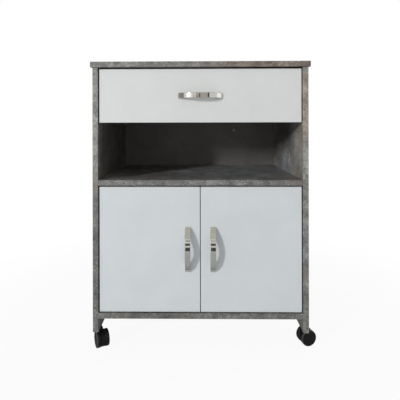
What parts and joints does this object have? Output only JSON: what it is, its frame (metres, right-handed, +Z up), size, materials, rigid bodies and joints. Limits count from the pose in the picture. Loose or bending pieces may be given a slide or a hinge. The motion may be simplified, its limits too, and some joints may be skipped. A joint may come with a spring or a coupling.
{
  "type": "kitchen cabinet on casters",
  "caption": "Mobile kitchen cabinet with a drawer over an open niche and a cupboard with hinged doors, bow handles, on swivel casters.",
  "frame": {"origin": "on the floor, under the middle of the cabinet's outer box with drawer and doors closed", "axes": "+X to the right of someone facing the front, +Y to the back, +Z up"},
  "size_m": [0.6565, 0.419, 0.8],
  "materials": {
    "beech": "raw beech",
    "black_plastic": "fine matt",
    "cap_plastic": "light grey plastic",
    "chrome": "polished",
    "concrete_board": "matt concrete-look melamine",
    "drawer_board": "satin light grey melamine",
    "hardboard": "printed hardboard",
    "nylon": "natural nylon",
    "runner_steel": "light epoxy coat",
    "white_board": "satin white melamine",
    "zinc_steel": "zinc plated"
  },
  "bodies": {
    "carcass": {"top_panel": "concrete_board", "left_side_panel": "concrete_board", "right_side_panel": "concrete_board", "middle_shelf": "concrete_board", "bottom_panel": "concrete_board", "back_panel": "hardboard", "back_panel_cap": "cap_plastic", "cam_locks": "zinc_steel", "cam_bolts": "zinc_steel", "wooden_dowels": "beech", "back_panel_nails": "zinc_steel", "caster_sockets": "black_plastic", "left_cabinet_runner": "runner_steel", "right_cabinet_runner": "runner_steel", "carcass_screws": "zinc_steel", "hinge_plates": "zinc_steel", "hinge_arms": "zinc_steel"},
    "drawer": {"drawer_front": "white_board", "drawer_left_side": "drawer_board", "drawer_right_side": "drawer_board", "drawer_back": "drawer_board", "drawer_bottom": "drawer_board", "drawer_handle": "chrome", "drawer_handle_screws": "zinc_steel", "drawer_cam_locks": "zinc_steel", "drawer_cam_bolts": "zinc_steel", "drawer_corner_screws": "zinc_steel", "left_drawer_runner": "runner_steel", "right_drawer_runner": "runner_steel", "drawer_runner_screws": "zinc_steel"},
    "left_front_roller": {"left_front_roller": "nylon"},
    "left_rear_roller": {"left_rear_roller": "nylon"},
    "right_front_roller": {"right_front_roller": "nylon"},
    "right_rear_roller": {"right_rear_roller": "nylon"},
    "left_door": {"left_door": "white_board", "left_door_handle": "chrome", "left_door_screws": "zinc_steel", "left_hinge_cups": "zinc_steel"},
    "right_door": {"right_door": "white_board", "right_door_handle": "chrome", "right_door_screws": "zinc_steel", "right_hinge_cups": "zinc_steel"},
    "front_left_caster": {"front_left_caster_hood": "black_plastic", "front_left_caster_pins": "zinc_steel"},
    "front_left_wheel_a": {"front_left_caster_wheel_a": "black_plastic"},
    "front_left_wheel_b": {"front_left_caster_wheel_b": "black_plastic"},
    "front_right_caster": {"front_right_caster_hood": "black_plastic", "front_right_caster_pins": "zinc_steel"},
    "front_right_wheel_a": {"front_right_caster_wheel_a": "black_plastic"},
    "front_right_wheel_b": {"front_right_caster_wheel_b": "black_plastic"},
    "rear_left_caster": {"rear_left_caster_hood": "black_plastic", "rear_left_caster_pins": "zinc_steel"},
    "rear_left_wheel_a": {"rear_left_caster_wheel_a": "black_plastic"},
    "rear_left_wheel_b": {"rear_left_caster_wheel_b": "black_plastic"},
    "rear_right_caster": {"rear_right_caster_hood": "black_plastic", "rear_right_caster_pins": "zinc_steel"},
    "rear_right_wheel_a": {"rear_right_caster_wheel_a": "black_plastic"},
    "rear_right_wheel_b": {"rear_right_caster_wheel_b": "black_plastic"}
  },
  "joints": [
    {"name": "drawer_slide", "type": "slide", "parent": "carcass", "child": "drawer", "axis": [0, -1, 0], "range_m": [0, 0.26]},
    {"name": "left_front_roller_turn", "type": "hinge", "parent": "carcass", "child": "left_front_roller", "pos_m": [-0.27375, -0.1525, 0.6553], "axis": [1, 0, 0], "range_deg": [0, 1760]},
    {"name": "left_rear_roller_turn", "type": "hinge", "parent": "drawer", "child": "left_rear_roller", "pos_m": [-0.27375, 0.1695, 0.655], "axis": [1, 0, 0], "range_deg": [0, 1760]},
    {"name": "right_front_roller_turn", "type": "hinge", "parent": "carcass", "child": "right_front_roller", "pos_m": [0.27375, -0.1525, 0.6553], "axis": [1, 0, 0], "range_deg": [0, 1760]},
    {"name": "right_rear_roller_turn", "type": "hinge", "parent": "drawer", "child": "right_rear_roller", "pos_m": [0.27375, 0.1695, 0.655], "axis": [1, 0, 0], "range_deg": [0, 1760]},
    {"name": "left_door_swing", "type": "hinge", "parent": "carcass", "child": "left_door", "pos_m": [-0.265, -0.1735, 0.286], "axis": [0, 0, -1], "range_deg": [0, 95]},
    {"name": "right_door_swing", "type": "hinge", "parent": "carcass", "child": "right_door", "pos_m": [0.265, -0.1735, 0.286], "axis": [0, 0, 1], "range_deg": [0, 95]},
    {"name": "front_left_swivel", "type": "hinge", "parent": "carcass", "child": "front_left_caster", "pos_m": [-0.2875, -0.133, 0.06], "axis": [0, 0, 1], "continuous": true},
    {"name": "front_left_wheel_a_spin", "type": "hinge", "parent": "front_left_caster", "child": "front_left_wheel_a", "pos_m": [-0.27999, -0.14713, 0.0225], "axis": [0.8829, 0.4695, 0], "continuous": true},
    {"name": "front_left_wheel_b_spin", "type": "hinge", "parent": "front_left_caster", "child": "front_left_wheel_b", "pos_m": [-0.27999, -0.14713, 0.0225], "axis": [0.8829, 0.4695, 0], "continuous": true},
    {"name": "front_right_swivel", "type": "hinge", "parent": "carcass", "child": "front_right_caster", "pos_m": [0.2875, -0.133, 0.06], "axis": [0, 0, 1], "continuous": true},
    {"name": "front_right_wheel_a_spin", "type": "hinge", "parent": "front_right_caster", "child": "front_right_wheel_a", "pos_m": [0.30295, -0.12886, 0.0225], "axis": [-0.2588, 0.9659, 0], "continuous": true},
    {"name": "front_right_wheel_b_spin", "type": "hinge", "parent": "front_right_caster", "child": "front_right_wheel_b", "pos_m": [0.30295, -0.12886, 0.0225], "axis": [-0.2588, 0.9659, 0], "continuous": true},
    {"name": "rear_left_swivel", "type": "hinge", "parent": "carcass", "child": "rear_left_caster", "pos_m": [-0.2875, 0.153, 0.06], "axis": [0, 0, 1], "continuous": true},
    {"name": "rear_left_wheel_a_spin", "type": "hinge", "parent": "rear_left_caster", "child": "rear_left_wheel_a", "pos_m": [-0.3033, 0.1505, 0.0225], "axis": [0.1564, -0.9877, 0], "continuous": true},
    {"name": "rear_left_wheel_b_spin", "type": "hinge", "parent": "rear_left_caster", "child": "rear_left_wheel_b", "pos_m": [-0.3033, 0.1505, 0.0225], "axis": [0.1564, -0.9877, 0], "continuous": true},
    {"name": "rear_right_swivel", "type": "hinge", "parent": "carcass", "child": "rear_right_caster", "pos_m": [0.2875, 0.153, 0.06], "axis": [0, 0, 1], "continuous": true},
    {"name": "rear_right_wheel_a_spin", "type": "hinge", "parent": "rear_right_caster", "child": "rear_right_wheel_a", "pos_m": [0.2955, 0.16686, 0.0225], "axis": [-0.866, 0.5, 0], "continuous": true},
    {"name": "rear_right_wheel_b_spin", "type": "hinge", "parent": "rear_right_caster", "child": "rear_right_wheel_b", "pos_m": [0.2955, 0.16686, 0.0225], "axis": [-0.866, 0.5, 0], "continuous": true}
  ],
  "couplings": [
    {"joint": "left_front_roller_turn", "follows": "drawer_slide", "rad_per_m": 117.65},
    {"joint": "left_rear_roller_turn", "follows": "drawer_slide", "rad_per_m": 117.65},
    {"joint": "right_front_roller_turn", "follows": "drawer_slide", "rad_per_m": 117.65},
    {"joint": "right_rear_roller_turn", "follows": "drawer_slide", "rad_per_m": 117.65}
  ]
}
